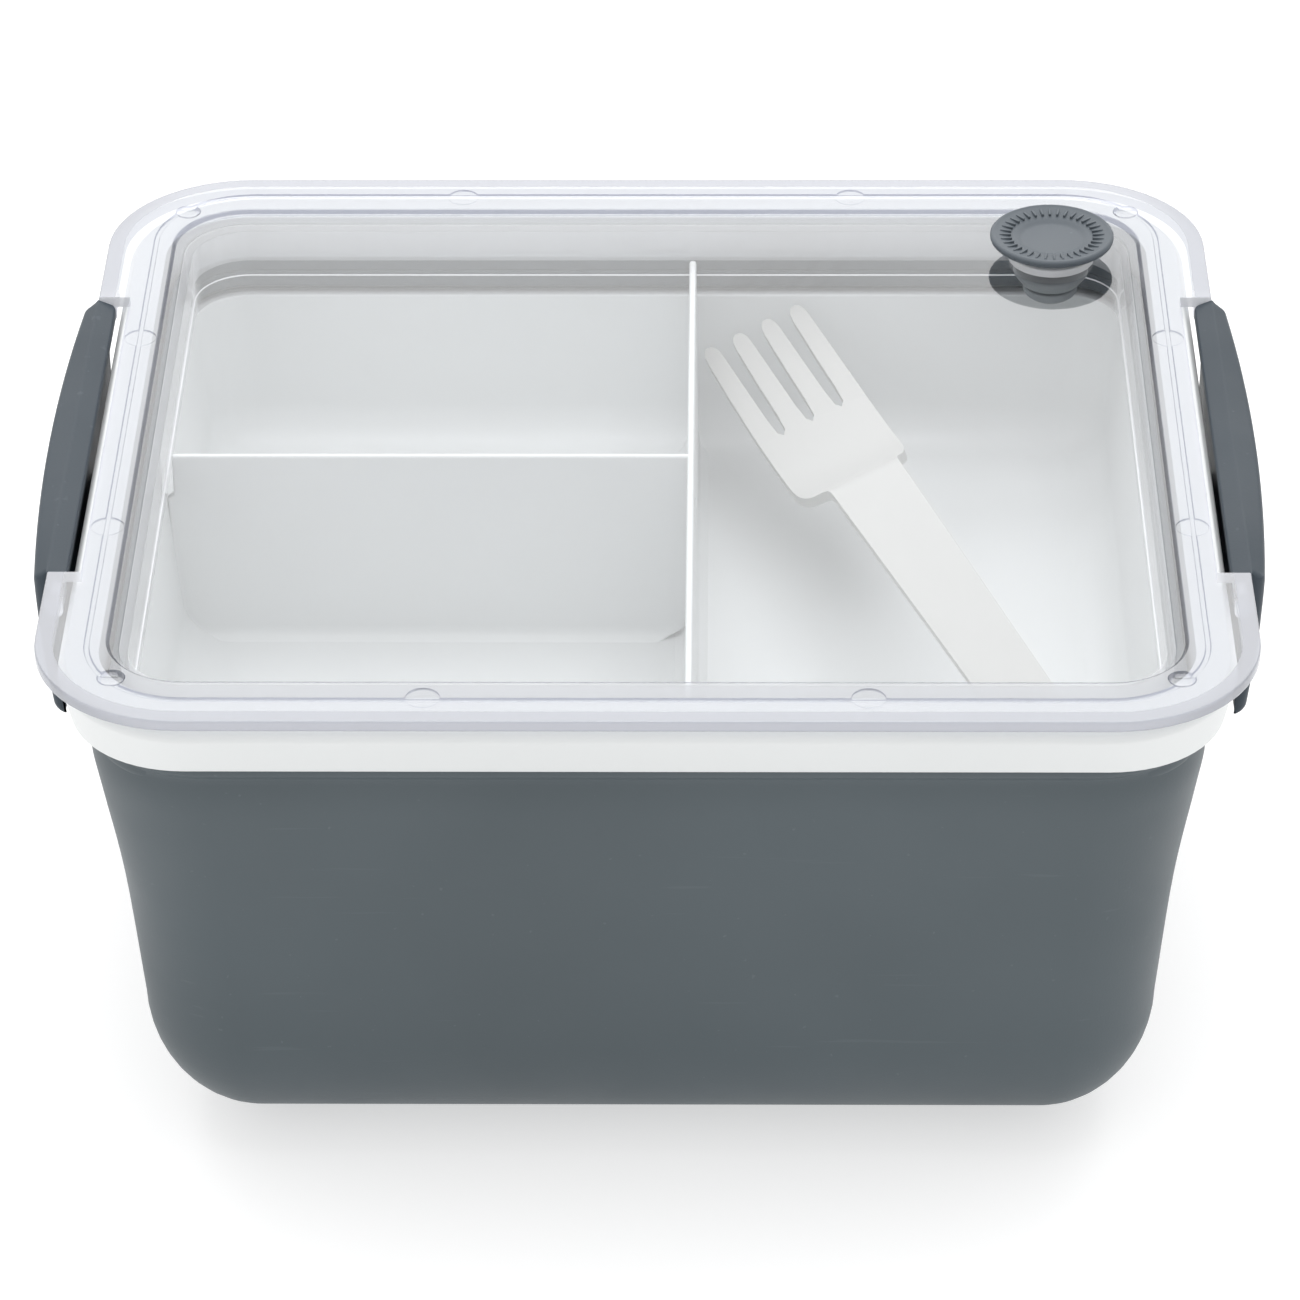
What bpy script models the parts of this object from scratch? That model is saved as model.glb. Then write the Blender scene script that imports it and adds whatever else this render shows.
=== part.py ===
"""Two-level lunch box: slate tub, white divided tray, clear latching lid with seal and vent button, and a fork.

Units are metres, +Z is up, X is the width and -Y is the front. The origin is at the middle of the footprint.
Most heights below are depths under the flat top of the lid ring, because every piece stacks from there.
"""

import math

import bmesh
import bpy
from mathutils import Matrix, Vector

MM = 0.001

# ---- driving dimensions, in millimetres ----
RING_TOP_Z = 101.0  # height of the lid ring's top face above the ground
LID_HALF = (100.0, 91.2)  # half width and half depth of the lid outline
LID_CORNER = 25.0
FRONT_LESS = LID_HALF[0] - LID_HALF[1]  # the depth is this much less than the width, on every outline

RING_THICK = 2.0
WINDOW_RECESS = 0.8
WINDOW_UNDER = 2.6
PLUG_IN, PLUG_OUT, PLUG_LIP, PLUG_END = 84.9, 86.2, 87.1, 16.0  # wall that carries the seal, and the lip under it
GROOVE_X, GROOVE_Y, GROOVE_WIDE, GROOVE_DEEP = 91.3, 84.8, 1.0, 0.4

SEAL_TOP, SEAL_END = 8.9, 15.2
LEDGE = 16.4  # depth of the tray's seal ledge
FLOOR = 45.5  # depth of the tray's floor
DIVIDER_TOP, DIVIDER_THICK = 8.4, 1.3
DIVIDER_X, CROSS_Y = 6.75, 5.45
SKIRT_END = 13.3

TUB_FLOOR = 98.0
TUB_UNDER = 100.0
FOOT_END = 101.0

LATCH_HALF = 46.0  # half length of a latch
PIVOT_X, PIVOT_D = 98.5, 2.6  # latch hinge line
PIN_R, BORE_R = 0.8, 0.95
RECESS_X = 94.3  # the lid ring stops here beside each latch
CATCH_HALF, HOOK_HALF = 22.0, 20.0

VENT_X, VENT_Y = 72.0, 62.9
HOLE_R = 4.2

FORK_TURN, FORK_ROLL = 19.3, 19.2  # degrees
FORK_NECK = (37.4, 9.7, 15.9)  # X, Y and depth of the fork's neck

CORNER_STEPS = 7


def clear_scene():
    for obj in list(bpy.data.objects):
        bpy.data.objects.remove(obj, do_unlink=True)


def material(name, color, roughness, transmission=0.0):
    mat = bpy.data.materials.new(name)
    mat.use_nodes = True
    shader = mat.node_tree.nodes["Principled BSDF"]
    shader.inputs["Base Color"].default_value = (*color, 1.0)
    shader.inputs["Roughness"].default_value = roughness
    shader.inputs["Transmission Weight"].default_value = transmission
    return mat


def z_of(depth):
    return (RING_TOP_Z - depth) * MM


def rounded_rect(half_x, half_y, radius, depth):
    """Points of a rounded rectangle, anticlockwise from +X, at a depth under the lid ring."""
    points = []
    for sx, sy, quarter in ((1, 1, 0), (-1, 1, 1), (-1, -1, 2), (1, -1, 3)):
        for step in range(CORNER_STEPS + 1):
            angle = (quarter + step / CORNER_STEPS) * math.pi / 2
            x = sx * (half_x - radius) + radius * math.cos(angle)
            y = sy * (half_y - radius) + radius * math.sin(angle)
            points.append(Vector((x * MM, y * MM, z_of(depth))))
    return points


def band(half_x, depth, half_y=None, corner=None):
    """One outline of a stack: the half depth and the corner follow the half width unless they are given."""
    if half_y is None:
        half_y = half_x - FRONT_LESS
    if corner is None:
        corner = max(LID_CORNER - (LID_HALF[0] - half_x), 4.0)
    return rounded_rect(half_x, half_y, corner, depth)


def new_object(name, bm, mat):
    mesh = bpy.data.meshes.new(name)
    bmesh.ops.recalc_face_normals(bm, faces=bm.faces)
    bm.to_mesh(mesh)
    bm.free()
    obj = bpy.data.objects.new(name, mesh)
    if mat:
        mesh.materials.append(mat)
    bpy.context.scene.collection.objects.link(obj)
    return obj


def loft(name, outlines, mat, closed=False):
    """Skins outlines in order. An open stack is capped at both ends; a closed one joins its last to its first."""
    bm = bmesh.new()
    rings = [[bm.verts.new(p) for p in outline] for outline in outlines]
    pairs = list(zip(rings, rings[1:]))
    if closed:
        pairs.append((rings[-1], rings[0]))
    for low, high in pairs:
        count = len(low)
        for i in range(count):
            j = (i + 1) % count
            bm.faces.new((low[i], low[j], high[j], high[i]))
    if not closed:
        bm.faces.new(rings[0])
        bm.faces.new(rings[-1])
    return new_object(name, bm, mat)


def prism(name, outline, start, end, place):
    """A flat outline of (u, v) pairs swept from start to end; place turns (u, v, w) into millimetres."""
    bm = bmesh.new()
    rings = [[bm.verts.new(place(u, v, w) * MM) for u, v in outline] for w in (start, end)]
    count = len(outline)
    for i in range(count):
        j = (i + 1) % count
        bm.faces.new((rings[0][i], rings[0][j], rings[1][j], rings[1][i]))
    bm.faces.new(rings[0])
    bm.faces.new(rings[1])
    return new_object(name, bm, None)


def lathe(name, profile, center, mat, steps=32):
    """A turned solid; profile is (radius, depth) pairs and starts and ends on the axis."""
    bm = bmesh.new()
    cx, cy = center
    rings = []
    for radius, depth in profile:
        if radius == 0:
            rings.append([bm.verts.new((cx * MM, cy * MM, z_of(depth)))])
            continue
        ring = []
        for step in range(steps):
            angle = 2 * math.pi * step / steps
            x = cx + radius * math.cos(angle)
            y = cy + radius * math.sin(angle)
            ring.append(bm.verts.new((x * MM, y * MM, z_of(depth))))
        rings.append(ring)
    for low, high in zip(rings, rings[1:]):
        for i in range(steps):
            j = (i + 1) % steps
            corners = [low[i % len(low)], low[j % len(low)], high[j % len(high)], high[i % len(high)]]
            bm.faces.new(list(dict.fromkeys(corners)))
    return new_object(name, bm, mat)


def lathe_ring(name, profile, center, mat, steps=32):
    """A turned ring; profile is a closed loop of (radius, depth) pairs."""
    bm = bmesh.new()
    cx, cy = center
    rings = []
    for step in range(steps):
        angle = 2 * math.pi * step / steps
        ring = []
        for radius, depth in profile:
            x = cx + radius * math.cos(angle)
            y = cy + radius * math.sin(angle)
            ring.append(bm.verts.new((x * MM, y * MM, z_of(depth))))
        rings.append(ring)
    count = len(profile)
    for k in range(steps):
        here, there = rings[k], rings[(k + 1) % steps]
        for i in range(count):
            j = (i + 1) % count
            bm.faces.new((here[i], here[j], there[j], there[i]))
    return new_object(name, bm, mat)


def apply_boolean(obj, tool, operation):
    modifier = obj.modifiers.new(operation, "BOOLEAN")
    modifier.operation = operation
    modifier.solver = "EXACT"
    modifier.object = tool
    bpy.context.view_layer.update()
    graph = bpy.context.evaluated_depsgraph_get()
    mesh = bpy.data.meshes.new_from_object(obj.evaluated_get(graph))
    obj.modifiers.clear()
    old = obj.data
    obj.data = mesh
    bpy.data.meshes.remove(old)
    bpy.data.objects.remove(tool, do_unlink=True)


def mirrored(side):
    """Places a section drawn as (distance from the middle, depth) on one side of the box, swept along Y."""
    return lambda u, v, w: Vector((side * u, w, RING_TOP_Z - v))


def origin_to(obj, point):
    """Moves the object's origin to a point in metres without moving its shape."""
    shift = Vector(point) - obj.location
    obj.data.transform(Matrix.Translation(-shift))
    obj.location = point


# ---- the tub ----
TUB_FILLET_START, TUB_FILLET_IN, TUB_FILLET_DOWN = 73.0, 24.0, 27.0
# (depth, inset) of the outer face
TUB_WALL = ((16.8, 7.8), (22.0, 7.8), (30.0, 9.0), (48.0, 11.7), (73.0, 13.9))
TUB_THICK = 1.9


def tub_outline(depth, inset):
    corner = max(21.0 - 0.75 * (inset - 7.8), 6.0)
    return band(LID_HALF[0] - inset, depth, corner=corner)


def make_tub():
    outer = []
    for step in (0.97, 0.85, 0.7, 0.52, 0.34, 0.16):
        angle = step * math.pi / 2
        inset = TUB_WALL[-1][1] + TUB_FILLET_IN * (1 - math.cos(angle))
        outer.append((TUB_FILLET_START + TUB_FILLET_DOWN * math.sin(angle), inset))
    outline = [tub_outline(TUB_UNDER, outer[0][1] + 2.0)]
    outline += [tub_outline(d, i) for d, i in outer]
    outline += [tub_outline(d, i) for d, i in reversed(TUB_WALL)]
    # rolled bead just under the tray's skirt, then the rim that hides inside the skirt
    outline += [tub_outline(d, i) for d, i in ((15.5, 6.9), (14.9, 6.4), (13.8, 6.4))]
    outline += [band(93.1, 13.7), band(93.1, 4.9), band(92.5, 4.3)]
    outline += [band(91.4, 4.3), band(90.9, 4.9), band(90.9, 18.2)]
    inner = [(d, i + TUB_THICK) for d, i in TUB_WALL[1:]]
    outline += [tub_outline(d, i) for d, i in inner]
    for step in (0.2, 0.45, 0.7, 0.88):
        angle = step * math.pi / 2
        inset = inner[-1][1] + (TUB_FILLET_IN - TUB_THICK) * (1 - math.cos(angle))
        depth = TUB_FILLET_START + (TUB_FLOOR - TUB_FILLET_START) * math.sin(angle)
        outline.append(tub_outline(depth, inset))
    outline.append(tub_outline(TUB_FLOOR, inner[-1][1] + TUB_FILLET_IN - 1.0))
    tub = loft("outer_tub", outline, material("tub_slate", (0.107, 0.130, 0.143), 0.45))

    for side in (-1, 1):
        # catch that the latch hooks under
        catch = ((90.6, 18.6), (95.6, 20.4), (95.6, 22.0), (94.05, 25.2), (90.2, 25.2))
        apply_boolean(tub, prism("catch", catch, -CATCH_HALF, CATCH_HALF, mirrored(side)), "UNION")
    for sx in (-1, 1):
        for sy in (-1, 1):
            foot = [(r, d) for r, d in ((0, FOOT_END), (6.0, FOOT_END), (7.5, 100.6), (8.0, 99.5), (0, 99.5))]
            tool = lathe("foot", foot, (sx * 55.0, sy * 46.0), None, steps=20)
            apply_boolean(tub, tool, "UNION")
    return tub


# ---- the tray ----
TRAY_FILLET, TRAY_THICK = 8.0, 1.4


def make_tray():
    wall_low = FLOOR - TRAY_FILLET
    outline = [band(76.0, FLOOR + TRAY_THICK)]
    for step in (0.75, 0.5, 0.25, 0.0):
        angle = step * math.pi / 2
        x = 84.8 - 8.8 * (1 - math.cos(angle))
        outline.append(band(x, wall_low + (TRAY_FILLET + TRAY_THICK) * math.sin(angle)))
    outline += [band(86.5, LEDGE + 1.4), band(90.2, LEDGE + 1.4), band(90.6, LEDGE + 1.0), band(90.6, 3.9)]
    # inside of the skirt, its lower edge, then the outside and the shoulder up to the flat rim
    outline += [
        rounded_rect(94.9, 88.2, 22.0, 3.9),
        rounded_rect(95.1, 88.9, 22.0, 5.2),
        rounded_rect(93.5, 84.7, 19.0, SKIRT_END),
        rounded_rect(94.8, 86.0, 20.0, SKIRT_END),
        rounded_rect(96.4, 90.2, 23.5, 4.9),
        rounded_rect(96.2, 89.9, 23.0, 4.0),
        rounded_rect(95.0, 87.4, 21.0, 2.3),
    ]
    outline += [band(89.8, 2.3), band(89.4, 2.8), band(89.4, LEDGE)]
    outline += [band(85.5, LEDGE), band(85.1, LEDGE + 0.4)]
    for step in (0.0, 0.33, 0.67, 1.0):
        angle = step * math.pi / 2
        x = 83.4 - TRAY_FILLET * (1 - math.cos(angle))
        outline.append(band(x, wall_low + TRAY_FILLET * math.sin(angle)))
    tray = loft("inner_tray", outline, material("tray_white", (0.80, 0.82, 0.82), 0.35))

    # each divider stands above the ledge inside the seal, and below it runs into the walls and the floor
    end = 75.3
    wall_mid, floor_mid = end + 1.6, FLOOR + 0.7
    half = (
        (end, DIVIDER_TOP), (end, LEDGE - 0.2), (wall_mid, LEDGE + 0.8), (wall_mid - 1.7, wall_low),
        (68.0, floor_mid),
    )
    along = [(-y, d) for y, d in reversed(half)] + list(half)
    long_wall = prism(
        "long_wall", along, DIVIDER_X - DIVIDER_THICK / 2, DIVIDER_X + DIVIDER_THICK / 2,
        lambda u, v, w: Vector((w, u, RING_TOP_Z - v)),
    )
    apply_boolean(tray, long_wall, "UNION")
    shift = FRONT_LESS - 0.2
    across = [(-(y + shift), d) for y, d in reversed(half)]
    across += [(DIVIDER_X, DIVIDER_TOP), (DIVIDER_X, floor_mid)]
    cross_wall = prism(
        "cross_wall", across, CROSS_Y - DIVIDER_THICK / 2, CROSS_Y + DIVIDER_THICK / 2,
        lambda u, v, w: Vector((u, w, RING_TOP_Z - v)),
    )
    apply_boolean(tray, cross_wall, "UNION")
    return tray


# ---- the lid ----
def make_lid():
    groove_in = (GROOVE_X - GROOVE_WIDE / 2, GROOVE_Y - GROOVE_WIDE / 2)
    groove_out = (GROOVE_X + GROOVE_WIDE / 2, GROOVE_Y + GROOVE_WIDE / 2)
    outline = [
        band(PLUG_IN, WINDOW_UNDER),
        band(PLUG_IN, PLUG_END),
        band(PLUG_LIP, PLUG_END),
        band(PLUG_LIP, SEAL_END + 0.3),
        band(PLUG_OUT, SEAL_END + 0.3),
        band(PLUG_OUT, RING_THICK),
        band(99.6, RING_THICK),
        band(100.0, RING_THICK - 0.4),
        band(100.0, 0.5),
        band(99.6, 0.0),
        rounded_rect(*groove_out, 17.5, 0.0),
        rounded_rect(*groove_out, 17.5, GROOVE_DEEP),
        rounded_rect(*groove_in, 16.5, GROOVE_DEEP),
        rounded_rect(*groove_in, 16.5, 0.0),
        band(88.2, 0.0),
        band(87.8, WINDOW_RECESS),
    ]
    lid = loft("lid", outline, material("clear_plastic", (0.93, 0.95, 0.96), 0.05, transmission=1.0))

    gap_half = LATCH_HALF + 0.4
    for side in (-1, 1):
        recess = ((RECESS_X, -1.0), (103.0, -1.0), (103.0, 6.0), (RECESS_X, 6.0))
        apply_boolean(lid, prism("recess", recess, -gap_half, gap_half, mirrored(side)), "DIFFERENCE")
        # ear with a blind bore for the latch's stub axle, at each end of the latch
        ear = ((96.9, 1.0), (100.0, 1.0), (100.0, 4.2), (99.4, 5.0), (97.4, 5.0), (96.9, 4.5))
        bore = []
        for step in range(16):
            angle = 2 * math.pi * step / 16
            bore.append((PIVOT_X + BORE_R * math.cos(angle), PIVOT_D + BORE_R * math.sin(angle)))
        for end in (-1, 1):
            near, far = sorted((end * gap_half, end * (gap_half + 6.0)))
            apply_boolean(lid, prism("ear", ear, near, far, mirrored(side)), "UNION")
            near, far = sorted((end * (gap_half - 1.0), end * (gap_half + 4.0)))
            apply_boolean(lid, prism("bore", bore, near, far, mirrored(side)), "DIFFERENCE")

    collar = ((7.9, 1.5), (7.9, 0.4), (7.6, 0.2), (6.4, 0.2), (6.2, 0.4), (6.2, 1.5))
    apply_boolean(lid, lathe_ring("collar", collar, (VENT_X, VENT_Y), None), "UNION")
    hole = ((0, 5.0), (HOLE_R, 5.0), (HOLE_R, -1.0), (0, -1.0))
    apply_boolean(lid, lathe("hole", hole, (VENT_X, VENT_Y), None), "DIFFERENCE")
    return lid


def make_seal():
    """Gasket stretched round the lid's plug wall above its lip, with two lips that wipe the tray's wall."""
    section = (
        (86.5, SEAL_TOP), (86.5, SEAL_END), (88.4, SEAL_END), (88.7, SEAL_END - 0.3), (88.7, 14.2), (89.1, 13.7),
        (88.7, 13.3), (88.7, 11.3), (89.1, 10.8), (88.7, 10.4), (88.7, SEAL_TOP),
    )
    outlines = [band(x, d) for x, d in section]
    return loft("lid_seal", outlines, material("seal_grey", (0.13, 0.15, 0.17), 0.55), closed=True)


# ---- the latches ----
LATCH_BOW = 2.0
# (distance from the middle of the box, depth, share of the bow) around the section, from the inner top edge
LATCH_SECTION = (
    (96.9, 2.0, 0), (100.1, 0.2, 0), (102.4, 2.6, 1), (102.3, 6.0, 1), (101.9, 16.0, 0.6), (100.6, 27.4, 0.2),
    (100.0, 28.3, 0.1), (98.9, 28.3, 0), (98.5, 27.8, 0), (98.6, 5.4, 0), (97.7, 4.5, 0), (96.9, 3.7, 0),
)


def make_latch(name, side, mat):
    bm = bmesh.new()
    rings = []
    for step in range(9):
        y = LATCH_HALF * (step / 4 - 1)
        bow = LATCH_BOW * (1 - (y / LATCH_HALF) ** 2)
        section = [Vector((side * (x + bow * k), y, RING_TOP_Z - d)) for x, d, k in LATCH_SECTION]
        rings.append([bm.verts.new(point * MM) for point in section])
    count = len(LATCH_SECTION)
    for here, there in zip(rings, rings[1:]):
        for i in range(count):
            j = (i + 1) % count
            bm.faces.new((here[i], here[j], there[j], there[i]))
    bm.faces.new(rings[0])
    bm.faces.new(rings[-1])
    latch = new_object(name, bm, mat)

    hook = ((98.9, 19.6), (96.05, 22.0), (94.5, 25.2), (94.7, 26.2), (98.9, 27.6))
    apply_boolean(latch, prism("hook", hook, -HOOK_HALF, HOOK_HALF, mirrored(side)), "UNION")
    pin = []
    for step in range(16):
        angle = 2 * math.pi * step / 16
        pin.append((PIVOT_X + PIN_R * math.cos(angle), PIVOT_D + PIN_R * math.sin(angle)))
    for end in (-1, 1):
        near, far = sorted((end * (LATCH_HALF - 1.5), end * (LATCH_HALF + 3.6)))
        apply_boolean(latch, prism("pin", pin, near, far, mirrored(side)), "UNION")
    origin_to(latch, (side * PIVOT_X * MM, 0.0, z_of(PIVOT_D)))
    return latch


# ---- the vent ----
def make_button():
    profile = (
        (0, -3.0), (5.0, -3.1), (8.6, -3.7), (10.3, -4.2), (11.1, -3.9), (11.3, -3.4), (10.9, -2.8),
        (9.6, -2.4), (5.2, -2.2), (3.7, -1.6), (3.7, 6.2), (4.9, 6.4), (4.9, 7.6), (3.6, 8.7), (0, 8.7),
    )
    slate = material("button_slate", (0.20, 0.22, 0.24), 0.5)
    button = lathe("release_button", profile, (VENT_X, VENT_Y), slate)
    origin_to(button, (VENT_X * MM, VENT_Y * MM, z_of(0)))
    return button


def make_vent_seal():
    """Soft collar under the window, which the flange at the end of the stem closes against."""
    section = ((4.1, 2.9), (6.6, 2.9), (6.9, 3.3), (6.6, 4.0), (5.2, 5.8), (4.1, 5.8))
    grey = material("vent_seal_grey", (0.16, 0.18, 0.20), 0.6)
    return lathe_ring("vent_seal", section, (VENT_X, VENT_Y), grey)


# ---- the fork ----
TINE_PITCH, TINE_WIDE, TINE_NARROW = 5.9, 3.8, 2.2
HANDLE_LONG, SLOT_ROOT, HEAD_LONG, FORK_THICK = 87.5, 34.5, 65.0, 2.2
HEAD_HALF = 1.5 * TINE_PITCH + TINE_WIDE / 2
# (distance from the neck, height of the underside, half width): the head dips and the tips rise again
FORK_ROWS = (
    (-HANDLE_LONG, -2.1, 4.6), (1.5 - HANDLE_LONG, -2.1, 5.4), (-60.0, -1.5, 5.7), (-30.0, -1.0, 6.2),
    (0.0, -1.1, 6.7), (4.0, -3.6, 8.0), (9.0, -7.1, 9.8), (16.0, -9.7, HEAD_HALF), (26.0, -10.7, HEAD_HALF),
    (SLOT_ROOT, -10.5, HEAD_HALF), (50.0, -9.1, HEAD_HALF), (HEAD_LONG - 2.5, -7.2, HEAD_HALF),
    (HEAD_LONG, -6.9, HEAD_HALF),
)


def make_fork():
    """A sheet seven cells across, four tines and three slots, which is then thickened upwards."""
    bm = bmesh.new()
    rows = []
    for along, height, half in FORK_ROWS:
        wide = TINE_NARROW if along == HEAD_LONG else TINE_WIDE
        row = []
        for tine in (-1.5, -0.5, 0.5, 1.5):
            for edge in (-wide / 2, wide / 2):
                x = (tine * TINE_PITCH + edge) * half / HEAD_HALF
                row.append(bm.verts.new(Vector((x, along, height)) * MM))
        rows.append(row)
    for (along, _, _), here, there in zip(FORK_ROWS, rows, rows[1:]):
        for cell in range(7):
            in_slot = cell % 2 == 1 and along >= SLOT_ROOT
            if not in_slot:
                bm.faces.new((here[cell], here[cell + 1], there[cell + 1], there[cell]))
    raised = bmesh.ops.extrude_face_region(bm, geom=list(bm.faces))["geom"]
    top = [part for part in raised if isinstance(part, bmesh.types.BMVert)]
    bmesh.ops.translate(bm, vec=(0.0, 0.0, FORK_THICK * MM), verts=top)
    return new_object("fork", bm, material("fork_white", (0.82, 0.82, 0.79), 0.4))


def place_fork(fork):
    """Lays the fork across the right compartment, one edge of its head lower, against the long divider."""
    turn = Matrix.Rotation(math.radians(FORK_TURN), 4, "Z")
    roll = Matrix.Rotation(math.radians(-FORK_ROLL), 4, "Y")
    fork.data.transform(turn @ roll)
    fork.location = Vector((FORK_NECK[0], FORK_NECK[1], RING_TOP_Z - FORK_NECK[2])) * MM


clear_scene()
make_tub()
make_tray()
make_lid()
make_seal()
for latch_name, latch_side in (("latch_left", -1), ("latch_right", 1)):
    make_latch(latch_name, latch_side, material(latch_name + "_slate", (0.11, 0.13, 0.145), 0.4))
make_button()
make_vent_seal()
place_fork(make_fork())
bpy.context.view_layer.update()
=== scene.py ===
"""Looks of the lunch box: slate tub, white divided tray, clear latching lid, vent button and fork.

Lengths are in millimetres until a mesh is made. Most heights are depths under the flat top of the lid's ring.
"""

import math

import bmesh
import bpy
from mathutils import Matrix, Vector


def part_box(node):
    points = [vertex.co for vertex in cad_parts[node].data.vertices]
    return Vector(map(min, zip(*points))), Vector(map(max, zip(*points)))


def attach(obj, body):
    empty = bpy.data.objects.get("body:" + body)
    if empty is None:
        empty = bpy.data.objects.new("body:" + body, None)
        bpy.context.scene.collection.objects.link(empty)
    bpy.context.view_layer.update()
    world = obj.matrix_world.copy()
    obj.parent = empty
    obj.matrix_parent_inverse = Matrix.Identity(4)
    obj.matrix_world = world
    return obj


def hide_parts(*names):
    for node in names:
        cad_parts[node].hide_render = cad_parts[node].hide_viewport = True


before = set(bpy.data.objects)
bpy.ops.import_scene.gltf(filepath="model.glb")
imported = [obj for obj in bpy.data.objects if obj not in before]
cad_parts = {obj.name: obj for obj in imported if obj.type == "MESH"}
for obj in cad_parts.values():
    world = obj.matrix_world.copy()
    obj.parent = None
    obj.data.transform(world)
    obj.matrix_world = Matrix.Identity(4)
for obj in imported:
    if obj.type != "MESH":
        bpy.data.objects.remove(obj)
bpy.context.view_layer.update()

MM = 0.001
LID_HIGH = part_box("lid")[1] / MM
RING_TOP = LID_HIGH.z
HALF_X, HALF_Y = LID_HIGH.x, LID_HIGH.y
LESS = HALF_X - HALF_Y  # every outline is this much less deep than it is wide
LID_CORNER = 25.0

# ---- sizes that the pieces share ----
LEDGE, FLOOR = 16.4, 45.5  # depths of the tray's ledge and floor
SKIRT_END = 13.3
DIVIDER_X, CROSS_Y, DIVIDER_TOP = 6.75, 5.45, 8.4
WINDOW_RECESS, WINDOW_UNDER = 0.8, 2.6
PLUG_IN, PLUG_OUT, PLUG_LIP, PLUG_END = 84.9, 86.2, 87.1, 16.0  # half widths of the plug wall, then its depth
SEAL_TOP, SEAL_END, BEAD_AT = 8.9, 15.2, 12.0
RING_THICK = 2.0
LATCH_HALF = 46.0
PIVOT_X = -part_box("latch_left")[0].x / MM - 5.9
PIVOT_D = 2.6
AXLE_R, BORE_R = 0.8, 0.95
VENT = (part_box("release_button")[0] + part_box("release_button")[1]) / 2 / MM
CORNER_STEPS = 16


# ---- outlines and profiles ----
def rounded_rect(half_x, half_y, corner, depth, runs=1):
    """Points of a rounded rectangle, anticlockwise; runs splits each straight side."""
    points = []
    for quarter, (sx, sy) in enumerate(((1, 1), (-1, 1), (-1, -1), (1, -1))):
        for step in range(CORNER_STEPS + 1):
            angle = (quarter + step / CORNER_STEPS) * math.pi / 2
            x = sx * (half_x - corner) + corner * math.cos(angle)
            y = sy * (half_y - corner) + corner * math.sin(angle)
            points.append(Vector((x, y, -depth)))
    split = []
    for i, here in enumerate(points):
        there = points[(i + 1) % len(points)]
        parts = runs if i % (CORNER_STEPS + 1) == CORNER_STEPS else 1
        split += [here.lerp(there, k / parts) for k in range(parts)]
    return split


def band(half_x, depth, corner=None):
    """(half width, half depth, corner radius, depth) of an outline that runs parallel to the lid's."""
    if corner is None:
        corner = max(LID_CORNER - (HALF_X - half_x), 4.0)
    return (half_x, half_x - LESS, corner, depth)


def soften(profile, steps=4, closed=False):
    """Rounds the corners of a profile. Each entry is (numbers, radius), and the radius may be 0."""
    points = []
    count = len(profile)
    for i, (here, radius) in enumerate(profile):
        here = Vector(here)
        at_end = not closed and i in (0, count - 1)
        if radius == 0 or at_end:
            points.append(here)
            continue
        before = Vector(profile[i - 1][0]) - here
        after = Vector(profile[(i + 1) % count][0]) - here
        start = here + before * min(radius / before.length, 0.49)
        end = here + after * min(radius / after.length, 0.49)
        for k in range(steps + 1):
            t = k / steps
            points.append(start * (1 - t) ** 2 + here * 2 * t * (1 - t) + end * t**2)
    return points


def smooth_curve(points, steps):
    """A Catmull-Rom curve through the points, which may have any number of coordinates."""
    points = [Vector(p) for p in points]
    full = [points[0] * 2 - points[1]] + points + [points[-1] * 2 - points[-2]]
    curve = []
    for a, b, c, d in zip(full, full[1:], full[2:], full[3:]):
        for k in range(steps):
            t = k / steps
            squared = (a * 2 - b * 5 + c * 4 - d) * t**2
            cubed = (b * 3 - a - c * 3 + d) * t**3
            curve.append((b * 2 + (c - a) * t + squared + cubed) / 2)
    curve.append(points[-1])
    return curve


# ---- meshes ----
def finish_mesh(name, bm, sharp=35.0):
    """Turns a bmesh in millimetres under the ring into a smooth-shaded object in the frame's metres."""
    bmesh.ops.recalc_face_normals(bm, faces=bm.faces)
    to_frame = Matrix.Translation((0, 0, RING_TOP * MM)) @ Matrix.Scale(MM, 4)
    bmesh.ops.transform(bm, matrix=to_frame, verts=bm.verts)
    mesh = bpy.data.meshes.new(name)
    bm.to_mesh(mesh)
    bm.free()
    mesh.shade_smooth()
    mesh.set_sharp_from_angle(angle=math.radians(sharp))
    obj = bpy.data.objects.new(name, mesh)
    bpy.context.scene.collection.objects.link(obj)
    return obj


def weight_normals(obj):
    modifier = obj.modifiers.new("flat_faces", "WEIGHTED_NORMAL")
    modifier.keep_sharp = True
    modifier.weight = 80
    return obj


def round_edges(obj, width, segments=3, angle=40.0):
    modifier = obj.modifiers.new("edges", "BEVEL")
    modifier.width = width * MM
    modifier.segments = segments
    modifier.limit_method = "ANGLE"
    modifier.angle_limit = math.radians(angle)
    return obj


def skin(bm, rings, closed):
    """Joins rings of vertices with quads, capped at both ends or closed into a loop."""
    pairs = list(zip(rings, rings[1:]))
    if closed:
        pairs.append((rings[-1], rings[0]))
    for low, high in pairs:
        count = len(low)
        for i in range(count):
            j = (i + 1) % count
            bm.faces.new((low[i], low[j], high[j], high[i]))
    if not closed:
        bm.faces.new(rings[0])
        bm.faces.new(rings[-1])


def loft(name, profile, closed=False, runs=1, move=None, sharp=35.0):
    """Skins a rounded rectangle for each (half width, half depth, corner, depth) of the profile."""
    bm = bmesh.new()
    rings = []
    for half_x, half_y, corner, depth in profile:
        points = rounded_rect(half_x, half_y, corner, depth, runs)
        if move:
            points = [move(p) for p in points]
        rings.append([bm.verts.new(p) for p in points])
    skin(bm, rings, closed)
    return finish_mesh(name, bm, sharp)


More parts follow.
